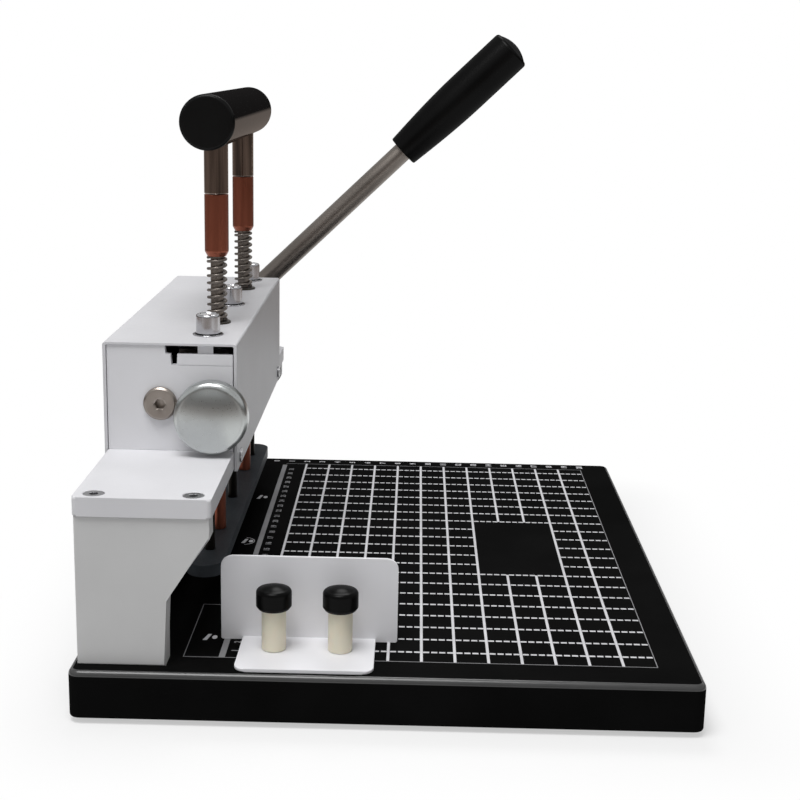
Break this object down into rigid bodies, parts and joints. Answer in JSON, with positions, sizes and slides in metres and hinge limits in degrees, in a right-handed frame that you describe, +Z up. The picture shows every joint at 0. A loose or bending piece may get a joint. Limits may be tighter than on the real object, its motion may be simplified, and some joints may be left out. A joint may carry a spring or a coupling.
{
  "type": "manual binding machine",
  "caption": "Bench-top manual binding punch: ruled base, bridge-mounted head, side lever driving punches by rack and pinion, sprung T-handle paper press, depth knob and sliding side guide.",
  "frame": {"origin": "on the table plane under the middle of the base", "axes": "+X from the punch line towards the operator, +Y along the row of punches towards the lever, +Z up"},
  "size_m": [0.278, 0.354, 0.301],
  "materials": {
    "black_base": "satin black powder coat with a printed white grid",
    "plain_steel": "plain ground steel",
    "zinc_steel": "bright zinc plate",
    "black_rubber": "matte",
    "black_nylon": "smooth matte",
    "white_paint": "smooth cool white enamel",
    "bronze": "turned bronze",
    "spring_steel": "drawn wire",
    "dark_steel": "blackened steel",
    "chrome": "polished",
    "black_gloss": "polished black",
    "copper": "copper-brown plated steel sleeve",
    "dark_plate": "dark grey satin",
    "cream_nylon": "natural nylon"
  },
  "bodies": {
    "frame": {"base_tray": "black_base", "bottom_plate": "dark_steel", "rubber_feet": "black_rubber", "bottom_screws": "zinc_steel", "cutting_pad": "black_nylon", "pad_support": "plain_steel", "near_side_plate": "white_paint", "far_side_plate": "white_paint", "side_plate_bolts": "dark_steel", "bridge_plate": "white_paint", "bridge_screws": "zinc_steel", "near_end_plate": "white_paint", "far_end_plate": "white_paint", "end_plate_screws": "zinc_steel", "head_cover": "white_paint", "cover_screws": "zinc_steel", "cover_eyelets": "zinc_steel", "spring_seats": "dark_steel", "shaft_bushes": "bronze", "knob_bush": "bronze", "punch_bushes": "bronze", "rod_bushes": "bronze", "guide_posts": "plain_steel", "back_stop": "black_base", "back_stop_screws": "zinc_steel", "press_springs": "spring_steel", "return_springs": "spring_steel"},
    "lever": {"main_shaft": "plain_steel", "pinions": "dark_steel", "pinion_pins": "dark_steel", "lever_hub": "dark_steel", "hub_grub_screw": "dark_steel", "shaft_end_screw": "zinc_steel", "lever_rod": "plain_steel", "lever_grip": "black_gloss"},
    "carrier": {"carrier_bar": "white_paint", "racks": "dark_steel", "rack_screws": "dark_steel", "punches": "plain_steel", "clamp_screws": "zinc_steel", "stop_lug": "dark_steel"},
    "press": {"handle_bar": "black_gloss", "handle_caps": "black_nylon", "press_rods": "plain_steel", "bright_sleeves": "chrome", "copper_sleeves": "copper", "low_copper_sleeves": "copper", "press_plate": "dark_plate", "press_plate_screws": "zinc_steel"},
    "knob": {"depth_knob": "chrome", "depth_cam": "plain_steel"},
    "guide": {"side_guide": "white_paint", "guide_nuts": "zinc_steel"},
    "left_screw": {"left_screw_cap": "black_nylon", "left_screw_stem": "cream_nylon", "left_screw_stud": "zinc_steel"},
    "right_screw": {"right_screw_cap": "black_nylon", "right_screw_stem": "cream_nylon", "right_screw_stud": "zinc_steel"}
  },
  "joints": [
    {"name": "lever_swing", "type": "hinge", "parent": "frame", "child": "lever", "pos_m": [-0.111, 0, 0.1243], "axis": [0, 1, 0], "range_deg": [0, 62]},
    {"name": "punch_feed", "type": "slide", "parent": "frame", "child": "carrier", "axis": [0, 0, -1], "range_m": [0, 0.01624], "stiffness_N_per_m": 1600, "springref_m": -0.022, "deforming": ["return_springs"]},
    {"name": "press_slide", "type": "slide", "parent": "frame", "child": "press", "axis": [0, 0, -1], "range_m": [0, 0.013], "stiffness_N_per_m": 800, "springref_m": -0.03, "deforming": ["press_springs"]},
    {"name": "knob_turn", "type": "hinge", "parent": "frame", "child": "knob", "pos_m": [-0.0857, -0.09, 0.1201], "axis": [0, 1, 0], "continuous": true},
    {"name": "guide_slide", "type": "slide", "parent": "frame", "child": "guide", "axis": [0, 1, 0], "range_m": [0, 0.066]},
    {"name": "left_screw_turn", "type": "hinge", "parent": "guide", "child": "left_screw", "pos_m": [-0.0514, -0.1502, 0.03], "axis": [0, 0, 1], "continuous": true},
    {"name": "right_screw_turn", "type": "hinge", "parent": "guide", "child": "right_screw", "pos_m": [-0.0216, -0.1502, 0.03], "axis": [0, 0, 1], "continuous": true}
  ],
  "couplings": [
    {"joint": "punch_feed", "follows": "lever_swing", "m_per_rad": 0.015}
  ]
}
